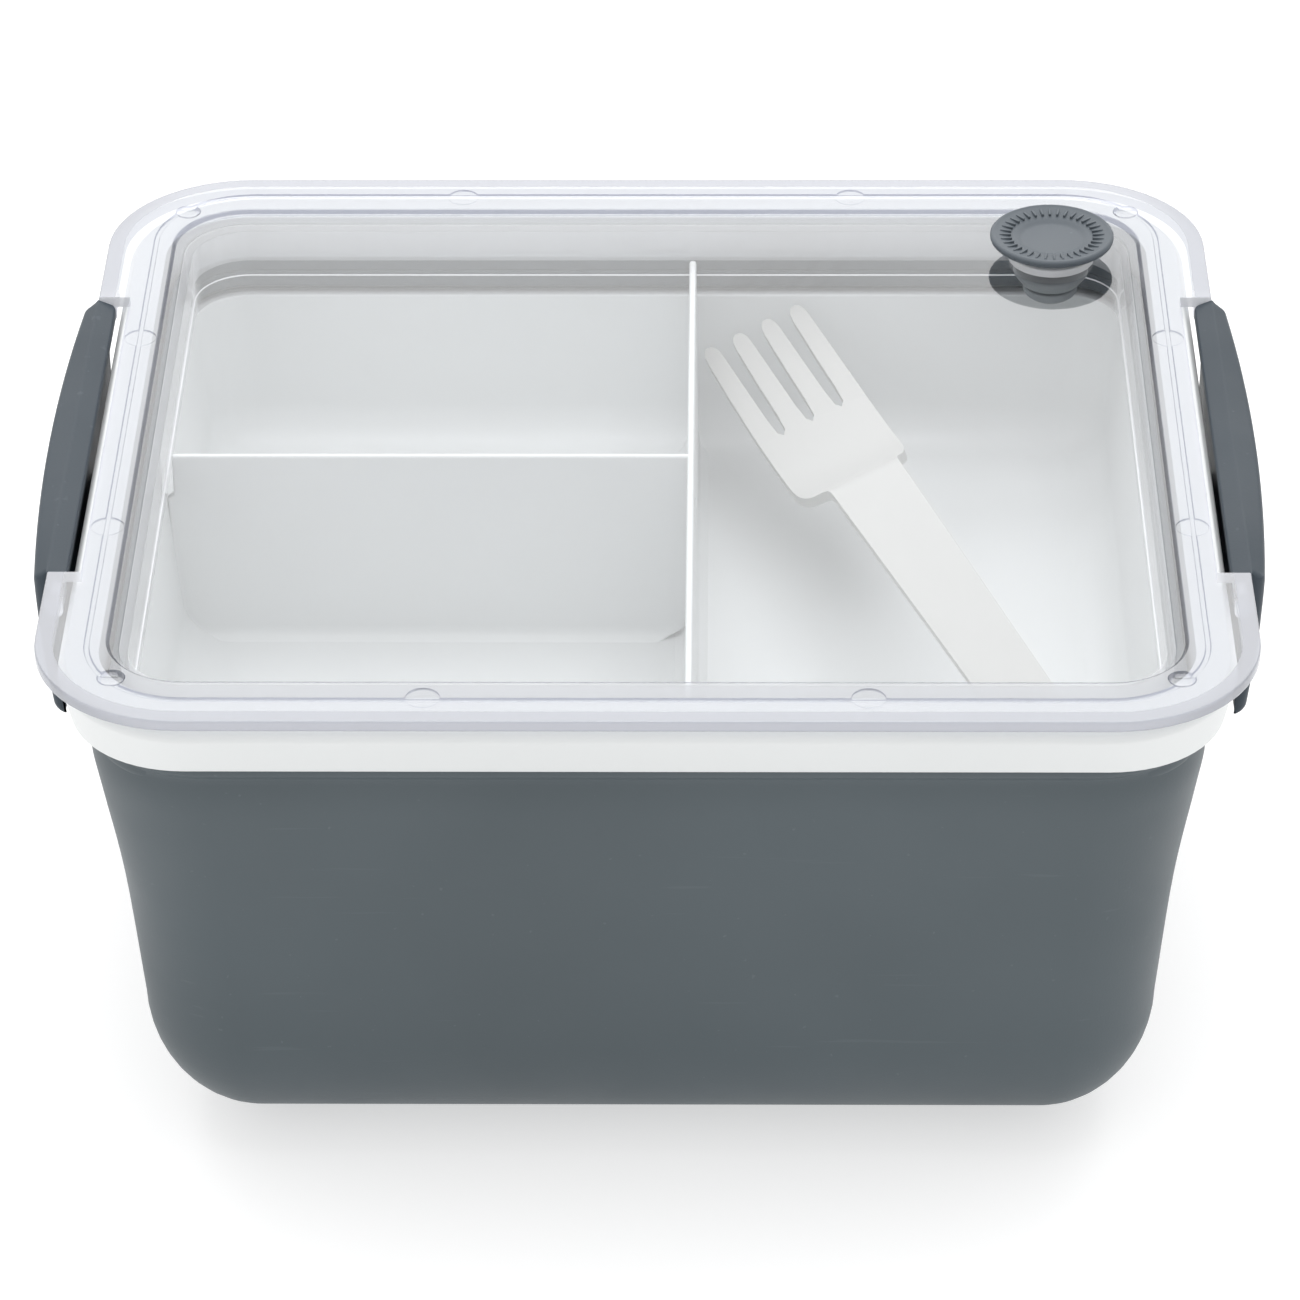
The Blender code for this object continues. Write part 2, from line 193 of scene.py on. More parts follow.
def turned(name, profile, center, steps=96, closed=False, sharp=35.0):
    """A piece turned about a vertical line. An open profile of (radius, depth) runs from axis to axis."""
    bm = bmesh.new()
    rings = []
    for radius, depth in profile:
        if radius < 1e-6:
            rings.append([bm.verts.new((center.x, center.y, -depth))])
            continue
        ring = []
        for step in range(steps):
            angle = 2 * math.pi * step / steps
            place = (center.x + radius * math.cos(angle), center.y + radius * math.sin(angle), -depth)
            ring.append(bm.verts.new(place))
        rings.append(ring)
    pairs = list(zip(rings, rings[1:]))
    if closed:
        pairs.append((rings[-1], rings[0]))
    for low, high in pairs:
        for i in range(steps):
            j = (i + 1) % steps
            corners = [low[i % len(low)], low[j % len(low)], high[j % len(high)], high[i % len(high)]]
            bm.faces.new(list(dict.fromkeys(corners)))
    return finish_mesh(name, bm, sharp)


def prism(name, outline, start, end, side=1, sharp=35.0):
    """A section of (distance from the middle, depth) on one side of the box, swept along Y."""
    bm = bmesh.new()
    rings = [[bm.verts.new((side * x, y, -d)) for x, d in outline] for y in (start, end)]
    skin(bm, rings, closed=False)
    return finish_mesh(name, bm, sharp)


def pivot_circle(radius):
    """A section round the latches' pivot line."""
    angles = [2 * math.pi * k / 24 for k in range(24)]
    return [(PIVOT_X + radius * math.cos(a), PIVOT_D + radius * math.sin(a)) for a in angles]


def joined(name, parts):
    """Several objects' meshes as one object; the parts are removed."""
    bm = bmesh.new()
    for part in parts:
        bm.from_mesh(part.data)
        bpy.data.objects.remove(part, do_unlink=True)
    mesh = bpy.data.meshes.new(name)
    bm.to_mesh(mesh)
    bm.free()
    obj = bpy.data.objects.new(name, mesh)
    bpy.context.scene.collection.objects.link(obj)
    return obj


def boolean(obj, tool, operation):
    modifier = obj.modifiers.new(operation, "BOOLEAN")
    modifier.operation = operation
    modifier.solver = "EXACT"
    modifier.object = tool
    bpy.context.view_layer.update()
    graph = bpy.context.evaluated_depsgraph_get()
    mesh = bpy.data.meshes.new_from_object(obj.evaluated_get(graph))
    obj.modifiers.clear()
    obj.data = mesh
    bpy.data.objects.remove(tool, do_unlink=True)


def dress(obj, material, body, slot, *nodes):
    """Gives a piece its material and the body that it moves with, and hides the nodes that it stands for. The
    slot is not used.
    """
    obj.data.materials.clear()
    obj.data.materials.append(material)
    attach(obj, body)
    if nodes:
        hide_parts(*nodes)
    return obj


# ---- materials ----
class Shader:
    """Short calls for a Principled material's nodes."""

    def __init__(self, name, color, roughness):
        self.material = bpy.data.materials.new(name)
        self.material.use_nodes = True
        self.tree = self.material.node_tree
        self.main = self.tree.nodes["Principled BSDF"]
        self.output = self.tree.nodes["Material Output"]
        self.main.inputs["Base Color"].default_value = (*color, 1.0)
        self.main.inputs["Roughness"].default_value = roughness
        self.coords = self.tree.nodes.new("ShaderNodeTexCoord").outputs["Object"]

    def noise(self, scale, detail=3.0, stretch=None):
        node = self.tree.nodes.new("ShaderNodeTexNoise")
        node.inputs["Scale"].default_value = scale
        node.inputs["Detail"].default_value = detail
        source = self.coords
        if stretch:
            mapping = self.tree.nodes.new("ShaderNodeMapping")
            mapping.inputs["Scale"].default_value = stretch
            self.tree.links.new(source, mapping.inputs["Vector"])
            source = mapping.outputs["Vector"]
        self.tree.links.new(source, node.inputs["Vector"])
        return node.outputs["Fac"]

    def ramp(self, value, low, high, start, end):
        node = self.tree.nodes.new("ShaderNodeMapRange")
        for socket, number in zip(("From Min", "From Max", "To Min", "To Max"), (low, high, start, end)):
            node.inputs[socket].default_value = number
        self.tree.links.new(value, node.inputs["Value"])
        return node.outputs["Result"]

    def blend(self, factor, first, second):
        """Colour that goes from first to second, each an RGB triple or another colour output."""
        node = self.tree.nodes.new("ShaderNodeMix")
        node.data_type = "RGBA"
        self.tree.links.new(factor, node.inputs["Factor"])
        for socket, color in ((node.inputs[6], first), (node.inputs[7], second)):
            if isinstance(color, tuple):
                socket.default_value = (*color, 1.0)
            else:
                self.tree.links.new(color, socket)
        return node.outputs[2]

    def set(self, socket, value):
        self.tree.links.new(value, self.main.inputs[socket])

    def bump(self, *layers):
        """Each layer is (height output, distance in metres)."""
        normal = None
        for height, distance in layers:
            node = self.tree.nodes.new("ShaderNodeBump")
            node.inputs["Distance"].default_value = distance
            self.tree.links.new(height, node.inputs["Height"])
            if normal:
                self.tree.links.new(normal, node.inputs["Normal"])
            normal = node.outputs["Normal"]
        self.set("Normal", normal)


def moulded(name, color, roughness, grain=0.00002, mottle=0.06, dust=0.0, specular=0.5):
    """Injection-moulded plastic: fine grain, a faint mottle in colour and gloss, and dust if asked for."""
    shader = Shader(name, color, roughness)
    cloud = shader.noise(14.0, 2.0)
    pale = tuple(c * (1 + mottle) + 0.002 for c in color)
    deep = tuple(c * (1 - mottle) for c in color)
    mixed = shader.blend(shader.ramp(cloud, 0.35, 0.65, 0.0, 1.0), deep, pale)
    if dust:
        specks = shader.ramp(shader.noise(900.0, 1.0), 0.76, 0.80, 0.0, dust)
        lint = tuple(min(c * 1.8 + 0.05, 0.9) for c in color)
        mixed = shader.blend(specks, mixed, lint)
        scuffs = shader.ramp(shader.noise(60.0, 2.0, (0.6, 4.0, 14.0)), 0.70, 0.74, 0.0, dust * 0.5)
        mixed = shader.blend(scuffs, mixed, lint)
    shader.set("Base Color", mixed)
    shader.main.inputs["Specular IOR Level"].default_value = specular
    worn = shader.noise(45.0, 3.0)
    shader.set("Roughness", shader.ramp(worn, 0.3, 0.7, roughness - 0.04, roughness + 0.04))
    shader.bump((shader.noise(2600.0, 2.0), grain), (shader.noise(30.0, 1.0), grain * 4))
    return shader.material


def clear_plastic(
    name, tint, edge_tint, turn=(0.55, 0.95), haze_and_painted_shading=0.0, haze_and_painted_shading_color=(0.9, 0.905, 0.92), edge_on_painted_light=None
):
    """Clear plastic that doesn't refract: Fresnel shine, a tint that deepens edge-on, and a diffuse layer
    that is haze in some looks, painted light on the walls, the bead and the collar, and painted shade on the
    edge strip.
    """
    shader = Shader(name, haze_and_painted_shading_color, 0.05)
    shader.set("Roughness", shader.ramp(shader.noise(22.0, 3.0), 0.35, 0.75, 0.03, 0.07))
    shader.bump((shader.noise(40.0, 1.0), 0.000006))
    nodes, links = shader.tree.nodes, shader.tree.links

    def mixed_shader(factor, first, second):
        node = nodes.new("ShaderNodeMixShader")
        if isinstance(factor, float):
            node.inputs["Fac"].default_value = factor
        else:
            links.new(factor, node.inputs["Fac"])
        links.new(first, node.inputs[1])
        links.new(second, node.inputs[2])
        return node.outputs["Shader"]

    edge_on = nodes.new("ShaderNodeLayerWeight")
    edge_on.inputs["Blend"].default_value = 0.5
    seen = nodes.new("ShaderNodeBsdfTransparent")
    depth = shader.ramp(edge_on.outputs["Facing"], *turn, 0.0, 1.0)
    links.new(shader.blend(depth, tint, edge_tint), seen.inputs["Color"])
    gloss = nodes.new("ShaderNodeBsdfGlossy")
    gloss.inputs["Roughness"].default_value = 0.03
    fresnel = nodes.new("ShaderNodeFresnel")
    fresnel.inputs["IOR"].default_value = 2.0  # one surface stands for both, so it mirrors twice as much
    faces_out = shader.ramp(nodes.new("ShaderNodeNewGeometry").outputs["Backfacing"], 0.0, 1.0, 1.0, 0.0)
    shine = nodes.new("ShaderNodeMath")
    shine.operation = "MULTIPLY"
    links.new(fresnel.outputs["Fac"], shine.inputs[0])
    links.new(faces_out, shine.inputs[1])
    surface = mixed_shader(shine.outputs["Value"], seen.outputs["BSDF"], gloss.outputs["BSDF"])
    # Edge-on, more white haze is mixed in as painted light.
    if edge_on_painted_light:
        haze_and_painted_shading = shader.ramp(edge_on.outputs["Facing"], 0.55, 0.85, haze_and_painted_shading, edge_on_painted_light)
    if haze_and_painted_shading:
        surface = mixed_shader(haze_and_painted_shading, surface, shader.main.outputs["BSDF"])
    path = nodes.new("ShaderNodeLightPath")
    lit = nodes.new("ShaderNodeBsdfTransparent")
    lit.inputs["Color"].default_value = (0.98, 0.98, 0.985, 1.0)
    surface = mixed_shader(path.outputs["Is Shadow Ray"], surface, lit.outputs["BSDF"])
    links.new(surface, shader.output.inputs["Surface"])
    return shader.material


# ---- the tub ----
TUB_WALL = ((7.8, 16.8), (7.8, 22.0), (9.0, 30.0), (11.7, 48.0), (13.9, 73.0))  # (inset, depth)
TUB_FILLET_IN, TUB_FILLET_DOWN, TUB_FLOOR, TUB_THICK = 24.0, 27.0, 98.0, 1.9
FOOT_X, FOOT_Y, FOOT_END = 55.0, 46.0, 101.0
CATCH_HALF = 22.0


def tub_band(inset, depth):
    corner = max(21.0 - 0.75 * (inset - 7.8), 6.0)
    return (HALF_X - inset, HALF_Y - inset, corner, depth)


def tub_side(extra, floor, steps):
    """The wall and the bottom fillet, from the neck down, as (inset, depth); extra moves it inwards."""
    side = [(inset + extra, depth) for inset, depth in smooth_curve(TUB_WALL, 5)]
    inset, depth = side[-1]
    for step in range(1, steps + 1):
        angle = step / steps * math.radians(88)
        side.append((
            inset + (TUB_FILLET_IN - extra) * (1 - math.cos(angle)),
            depth + (floor - depth) * math.sin(angle),
        ))
    return side


def make_tub(slate):
    under = TUB_WALL[-1][1] + TUB_FILLET_DOWN
    outside = [(tub_band(i, d), 0) for i, d in tub_side(0.0, under, 14)]
    inside = [(tub_band(i, d), 0) for i, d in tub_side(TUB_THICK, TUB_FLOOR, 12)[3:]]
    rim = [
        (tub_band(7.3, 15.9), 0.5), (tub_band(6.4, 15.2), 0.7), (tub_band(6.4, 13.8), 0.35),
        (band(93.1, 13.7), 0.3), (band(93.1, 4.3), 0.6), (band(90.9, 4.3), 0.6), (band(90.9, 18.2), 0.8),
    ]
    profile = soften([*reversed(outside), *rim, *inside], steps=3)
    tub = weight_normals(loft("tub_shell", profile, runs=10))
    dress(tub, slate, "tub", "tub_slate", "outer_tub")

    for side, name in ((-1, "left"), (1, "right")):
        section = ((91.0, 18.6), (95.6, 20.4), (95.6, 22.0), (94.05, 25.2), (90.6, 25.2))
        catch = prism(f"tub_catch_{name}", section, -CATCH_HALF, CATCH_HALF, side)
        dress(weight_normals(round_edges(catch, 0.35)), slate, "tub", "tub_slate")
    feet = []
    for sx in (-1, 1):
        for sy in (-1, 1):
            section = soften([((0, FOOT_END), 0), ((7.2, FOOT_END), 0.6), ((8.0, 99.0), 0), ((0, 99.0), 0)])
            feet.append(turned("foot", section, Vector((sx * FOOT_X, sy * FOOT_Y, 0)), steps=48))
    dress(joined("tub_feet", feet), slate, "tub", "tub_slate")


# ---- the tray ----
TRAY_OUT, UNDER_IN, UNDER_DOWN = 84.8, 8.8, 9.4  # half width outside, and the outer fillet's two radii
TRAY_IN, TRAY_FILLET = 83.4, 8.0  # half width inside, and the inner fillet's radius
LONG_HALF, LONG_LOW = 75.3, 76.4  # half length of the long divider above the ledge, and below it
CROSS_INTO = 1.1  # how much further the cross divider reaches at each end below the ledge


def make_tray(white):
    low = FLOOR - TRAY_FILLET
    under = []
    for step in range(9):
        angle = (1 - step / 8) * math.radians(88)
        half_x = TRAY_OUT - UNDER_IN * (1 - math.cos(angle))
        under.append((band(half_x, low + UNDER_DOWN * math.sin(angle)), 0))
    skirt = [
        (band(86.5, LEDGE + 1.4), 0.8), (band(90.2, LEDGE + 1.4), 0), (band(90.6, LEDGE + 1.0), 0),
        (band(90.6, 3.9), 0.5), ((94.9, 88.2, 22.0, 3.9), 0.5), ((95.1, 88.9, 22.0, 5.2), 0.5),
        ((93.5, 84.7, 19.0, SKIRT_END), 0.25), ((94.8, 86.0, 20.0, SKIRT_END), 0.5),
        ((96.4, 90.2, 23.5, 4.9), 0.6), ((96.1, 89.8, 23.0, 3.7), 0.6), ((95.2, 88.0, 21.6, 2.4), 0.7),
        (band(89.5, 2.3), 0.4), (band(89.4, LEDGE), 0.35), (band(85.2, LEDGE), 0.5),
    ]
    inside = []
    for step in range(11):
        angle = step / 10 * math.radians(88)
        half_x = TRAY_IN - TRAY_FILLET * (1 - math.cos(angle))
        inside.append((band(half_x, low + TRAY_FILLET * math.sin(angle)), 0))
    tray = weight_normals(loft("tray_shell", soften([*under, *skirt, *inside]), runs=6))
    dress(tray, white, "tray", "tray_white", "inner_tray")

    long_wall = divider("tray_divider_long", LONG_HALF, LONG_LOW, across=False)
    long_wall.data.transform(Matrix.Translation((DIVIDER_X * MM, 0, 0)))
    dress(long_wall, white, "tray", "tray_white")
    wall = -(LONG_HALF + LESS - 0.2)
    middle, half = (wall + DIVIDER_X) / 2, (DIVIDER_X - wall) / 2
    cross = divider("tray_divider_cross", half, half + CROSS_INTO, across=True)
    cross.data.transform(Matrix.Translation((middle * MM, CROSS_Y * MM, 0)))
    dress(cross, white, "tray", "tray_white")


def divider(name, half_long, half_low, across):
    """A thin wall, thicker at its foot: half_long from its middle above the ledge, and half_low below it."""
    # (depth, half thickness, half length)
    rows = [
        (DIVIDER_TOP, 0.25, half_long - 0.4), (DIVIDER_TOP + 0.12, 0.48, half_long - 0.15),
        (DIVIDER_TOP + 0.45, 0.65, half_long), (LEDGE - 0.2, 0.72, half_long),
        (LEDGE + 0.5, 0.73, half_low), (FLOOR - 10.0, 0.95, half_low - 0.3),
        (FLOOR - 2.4, 1.0, half_low - 1.9), (FLOOR - 1.3, 1.2, half_low - 2.9),
        (FLOOR - 0.6, 1.7, half_low - 4.4), (FLOOR - 0.1, 2.8, half_low - 5.6),
        (FLOOR + 0.5, 3.4, half_low - 5.6),
    ]
    profile = []
    for depth, thick, half in rows:
        sizes = (half, thick) if across else (thick, half)
        profile.append((*sizes, thick * 0.7, depth))
    return weight_normals(loft(name, profile, sharp=60.0))


# ---- the lid ----
GROOVE_X, GROOVE_Y, GROOVE_WIDE, GROOVE_DEEP = 91.3, 84.8, 1.0, 0.35
MARKS = ((35.8, 84.2), (91.2, 31.9))
DIMPLE = (86.4, 78.5)
RECESS_X, GAP_HALF = 94.3, LATCH_HALF + 0.4
HOLE_R = 4.2
# The bead inside the plug wall, which carries a painted highlight: half width, half height, and half width
# inside which the painted highlight applies.
BEAD_IN, BEAD_HALF, BEAD_REACH = 84.65, 0.16, 85.2
WINDOW_CORE = 40.0  # half width of the flat loop that closes the window's two faces
EAR_LONG = 6.0
COLLAR_IN, COLLAR_OUT = 6.3, 7.8

# The lid's looks, by the distance in from its outline where each begins; the edge strip and the sloping faces
# carry painted shade.
EDGE_WIDE, STEP_FROM, RING_WIDE = 3.0, 9.5, 11.9
FLAT = 0.93  # a face whose normal is more upright than this counts as flat
LID_LOOKS = ("window", "ring", "edge", "rim", "line", "step", "wall", "upper_wall")


def lid_inset(point):
    """Distance in millimetres from the lid's outline to a point inside it."""
    x = abs(point.x) / MM - (HALF_X - LID_CORNER)
    y = abs(point.y) / MM - (HALF_Y - LID_CORNER)
    if x > 0 and y > 0:
        return LID_CORNER - math.hypot(x, y)
    return LID_CORNER - max(x, y)


def lid_look(center, normal):
    """The name of the look of a face of the lid."""
    inset = lid_inset(center)
    depth = RING_TOP - center.z / MM
    from_vent = math.hypot(center.x / MM - VENT.x, center.y / MM - VENT.y)
    on_bead = abs(depth - BEAD_AT) < 0.2 and inset > HALF_X - BEAD_REACH
    on_collar = from_vent < COLLAR_OUT + 0.4 and depth < 0.75
    on_ear = inset < EDGE_WIDE and GAP_HALF - 0.1 < abs(center.y) / MM < GAP_HALF + EAR_LONG + 0.1
    sloping = depth < 1.0 and abs(normal.z) < FLAT
    # Painted highlight: the bead and the vent collar take the hazy white rim look.
    if on_bead or on_collar:
        return "rim"
    # The plug's walls take painted light: white haze edge-on, and more of it above the seal.
    if depth > RING_THICK and abs(normal.z) < 0.5 and inset > RING_WIDE:
        return "upper_wall" if depth < SEAL_TOP else "wall"
    # Sloping faces take dark tints, painted shade.
    if inset > STEP_FROM and sloping:
        return "step"
    if inset > EDGE_WIDE and sloping:
        return "line"
    if on_ear:
        return "rim"
    # The edge strip takes the edge look's painted shade.
    if inset < EDGE_WIDE:
        return "edge"
    return "ring" if inset < RING_WIDE else "window"


def lid_looks():
    """The lid's materials by the names in LID_LOOKS. All but the window and ring looks carry painted light or
    painted shade.
    """
    wall_tints = ((0.98, 0.98, 0.985), (0.88, 0.89, 0.93))
    return {
        "window": clear_plastic("lid_window_plastic", (0.97, 0.975, 0.98), (0.82, 0.83, 0.87)),
        "ring": clear_plastic("lid_ring_plastic", (0.82, 0.83, 0.85), (0.70, 0.71, 0.78), haze_and_painted_shading=0.12),
        # The outer edge strip: grey haze and a deep tint edge-on, painted shade that darkens the strip all
        # round.
        "edge": clear_plastic(
            "lid_edge_painted_shade_plastic", (0.94, 0.945, 0.97), (0.42, 0.44, 0.48), (0.2, 0.42), haze_and_painted_shading=0.5,
            haze_and_painted_shading_color=(0.55, 0.56, 0.60),
        ),
        # Hazy white: a painted highlight on the plug's bead and on the vent collar; the latch ears take it
        # too.
        "rim": clear_plastic("lid_rim_haze_and_painted_highlight_plastic", (0.93, 0.935, 0.96), (0.80, 0.80, 0.88), haze_and_painted_shading=0.7),
        # The sloping faces of the ring and of the window's step: dark tints, painted shade that draws them as
        # dark lines.
        "line": clear_plastic("lid_groove_painted_shade_plastic", (0.72, 0.73, 0.80), (0.66, 0.67, 0.75), haze_and_painted_shading=0.05),
        "step": clear_plastic(
            "lid_step_painted_shade_plastic", (0.60, 0.61, 0.68), (0.36, 0.37, 0.43), (0.45, 0.75), haze_and_painted_shading=0.05
        ),
        # The plug's walls: white haze edge-on is painted light that brightens them; above the seal there is
        # painted light all over.
        "wall": clear_plastic("lid_wall_painted_light_plastic", *wall_tints, haze_and_painted_shading=0.01, edge_on_painted_light=0.6),
        "upper_wall": clear_plastic("lid_upper_wall_painted_light_plastic", *wall_tints, haze_and_painted_shading=0.38, edge_on_painted_light=0.7),
    }


def make_lid(looks):
    groove = []
    for offset, depth in ((0.5, 0.0), (0.35, GROOVE_DEEP), (-0.35, GROOVE_DEEP), (-0.5, 0.0)):
        x, y = GROOVE_X + offset * GROOVE_WIDE, GROOVE_Y + offset * GROOVE_WIDE
        groove.append(((x, y, 17.0 + offset, depth), 0.1))
    # The bead at BEAD_AT carries a painted highlight along the inside of the plug wall.
    profile = [
        (band(WINDOW_CORE, WINDOW_UNDER, 4.0), 0), (band(PLUG_IN, WINDOW_UNDER), 0.5),
        (band(PLUG_IN, SEAL_TOP), 0), (band(PLUG_IN, BEAD_AT - BEAD_HALF), 0), (band(BEAD_IN, BEAD_AT), 0.08),
        (band(PLUG_IN, BEAD_AT + BEAD_HALF), 0), (band(PLUG_IN, PLUG_END), 0.3),
        (band(PLUG_LIP, PLUG_END), 0.25), (band(PLUG_LIP, SEAL_END + 0.3), 0.15),
        (band(PLUG_OUT, SEAL_END + 0.3), 0.1), (band(PLUG_OUT, SEAL_TOP), 0),
        (band(PLUG_OUT, RING_THICK), 0.5),
        (band(HALF_X - EDGE_WIDE, RING_THICK), 0), (band(HALF_X, RING_THICK), 0.5),
        (band(HALF_X, 0.0), 0.6), (band(HALF_X - EDGE_WIDE, 0.0), 0), *groove,
        (band(88.3, 0.0), 0.45), (band(87.7, WINDOW_RECESS), 0.35),
        (band(WINDOW_CORE, WINDOW_RECESS, 4.0), 0),
    ]
    lid = loft("lid_shell", soften(profile, steps=4))

    additions = []
    collar = [
        ((COLLAR_OUT, 1.5), 0), ((COLLAR_OUT, -0.6), 0.4), ((COLLAR_IN, -0.6), 0.4), ((COLLAR_IN, 1.5), 0),
    ]
    additions.append(turned("collar", soften(collar, closed=True), VENT, closed=True))
    recesses, cuts = [], []
    for side in (-1, 1):
        recess = ((RECESS_X, -1.0), (103.0, -1.0), (103.0, 6.0), (RECESS_X, 6.0))
        recesses.append(prism("recess", recess, -GAP_HALF, GAP_HALF, side))
        for end in (-1, 1):
            ear = soften([
                ((96.9, 1.0), 0), ((99.95, 1.0), 0), ((99.95, 4.0), 0.8), ((99.0, 5.0), 0.5),
                ((97.4, 5.0), 0.4), ((96.9, 4.2), 0.3),
            ], closed=True)
            near, far = sorted((end * (GAP_HALF + 0.001), end * (GAP_HALF + EAR_LONG)))
            additions.append(prism("ear", ear, near, far, side))
            near, far = sorted((end * (GAP_HALF - 1.0), end * (GAP_HALF + 4.0)))
            cuts.append(prism("bore", pivot_circle(BORE_R), near, far, side))
            for x, y in MARKS:
                mark = soften([((0, -1.0), 0), ((2.8, -1.0), 0), ((2.8, 0.22), 0.1), ((0, 0.22), 0)])
                cuts.append(turned("mark", mark, Vector((side * x, end * y, 0)), steps=40))
            lens = [(0, -1.0), (2.35, -1.0)]
            lens += [(2.35 * math.cos(a), 0.75 * math.sin(a)) for a in (k * math.pi / 12 for k in range(6))]
            lens.append((0, 0.75))
            cuts.append(turned("dimple", lens, Vector((side * DIMPLE[0], end * DIMPLE[1], 0)), steps=40))
    cuts.append(turned("hole", [(0, 5.0), (HOLE_R, 5.0), (HOLE_R, -1.0), (0, -1.0)], VENT, steps=64))
    boolean(lid, joined("additions", additions), "UNION")
    boolean(lid, joined("recesses", recesses), "DIFFERENCE")
    boolean(lid, joined("cuts", cuts), "DIFFERENCE")
    lid.data.shade_smooth()
    lid.data.set_sharp_from_angle(angle=math.radians(35))
    dress(weight_normals(lid), looks["window"], "lid", "lid_clear", "lid")
    for look in LID_LOOKS[1:]:
        lid.data.materials.append(looks[look])
    # Each face takes its look, with any painted light or shade that the look carries.
    for face in lid.data.polygons:
        face.material_index = LID_LOOKS.index(lid_look(face.center, face.normal))


def make_seal(grey):
    section = [
        ((86.5, SEAL_TOP), 0.3), ((86.5, 11.7), 0.2), ((86.9, 12.0), 0.2), ((86.5, 12.3), 0.2),
        ((86.5, SEAL_END), 0.3), ((88.6, SEAL_END), 0.4), ((88.7, 14.3), 0.2), ((89.1, 13.7), 0.2),
        ((88.6, 13.2), 0.2), ((88.6, 11.4), 0.2), ((89.1, 10.8), 0.2), ((88.6, 10.3), 0.2),
        ((88.6, SEAL_TOP), 0.3),
    ]
    outlines = soften([(band(x, d), r) for (x, d), r in section], steps=3, closed=True)
    seal = loft("lid_gasket", outlines, closed=True, sharp=50.0)
    dress(seal, grey, "lid", "seal_grey", "lid_seal")


# ---- the latches ----
LATCH_BOW = 2.0
# (distance from the middle, depth, share of the bow, share of the end rounding, corner radius)
LATCH_SECTION = (
    ((96.8, 1.4, 0.0, -0.5), 0.5), ((100.1, 0.3, 0.0, 0.0), 0.3), ((102.4, 1.9, 1.0, 1.0), 0.7),
    ((102.3, 6.0, 1.0, 1.0), 1.5), ((101.9, 16.0, 0.6, 1.0), 0), ((100.6, 27.4, 0.2, 1.0), 0.6),
    ((100.0, 28.3, 0.1, 1.0), 0.5), ((98.9, 28.3, 0.0, 0.0), 0.4), ((98.5, 27.8, 0.0, 0.0), 0.3),
    ((98.6, 5.4, 0.0, 0.0), 1.0), ((97.7, 4.4, 0.0, -0.4), 0.5), ((96.9, 3.6, 0.0, -0.5), 0.4),
)
END_ROUND, HOOK_HALF = 1.7, 20.0


def make_latch(name, side, body, slate):
    section = soften(LATCH_SECTION, steps=3, closed=True)
    stations = []
    for step in range(7):
        angle = step / 6 * math.pi / 2
        stations.append((LATCH_HALF - END_ROUND * (1 - math.sin(angle)), END_ROUND * (1 - math.cos(angle))))
    middle = [(LATCH_HALF - END_ROUND) * (k / 8 - 1) for k in range(17)]
    stations = [(-y, shift) for y, shift in reversed(stations)] + [(y, 0.0) for y in middle[1:-1]] + stations
    bm = bmesh.new()
    rings = []
    for y, shift in stations:
        bow = LATCH_BOW * (1 - (y / LATCH_HALF) ** 2)
        rings.append([bm.verts.new((side * (x + bow * k - shift * e), y, -d)) for x, d, k, e in section])
    skin(bm, rings, closed=False)
    latch = finish_mesh(name, bm, 28.0)

    hook = ((98.9, 19.6), (96.05, 22.0), (94.5, 25.2), (94.7, 26.2), (98.9, 27.6))
    hook_piece = prism(f"{name}_hook", hook, -HOOK_HALF, HOOK_HALF, side)
    dress(weight_normals(round_edges(hook_piece, 0.25)), slate, body, "latch_slate")
    for end, place in ((-1, "front"), (1, "back")):
        near, far = sorted((end * (LATCH_HALF - 1.5), end * (LATCH_HALF + 3.6)))
        axle = prism(f"{name}_axle_{place}", pivot_circle(AXLE_R), near, far, side)
        dress(round_edges(axle, 0.2), slate, body, "latch_slate")
    dress(weight_normals(latch), slate, body, "latch_slate", f"latch_{name.split('_')[1]}")


# ---- the vent ----
RIBS, RIB_MIDDLE, RIB_SIZE = 36, (8.45, 3.75), (2.1, 0.42, 0.5)  # count, (radius, height) and size of each


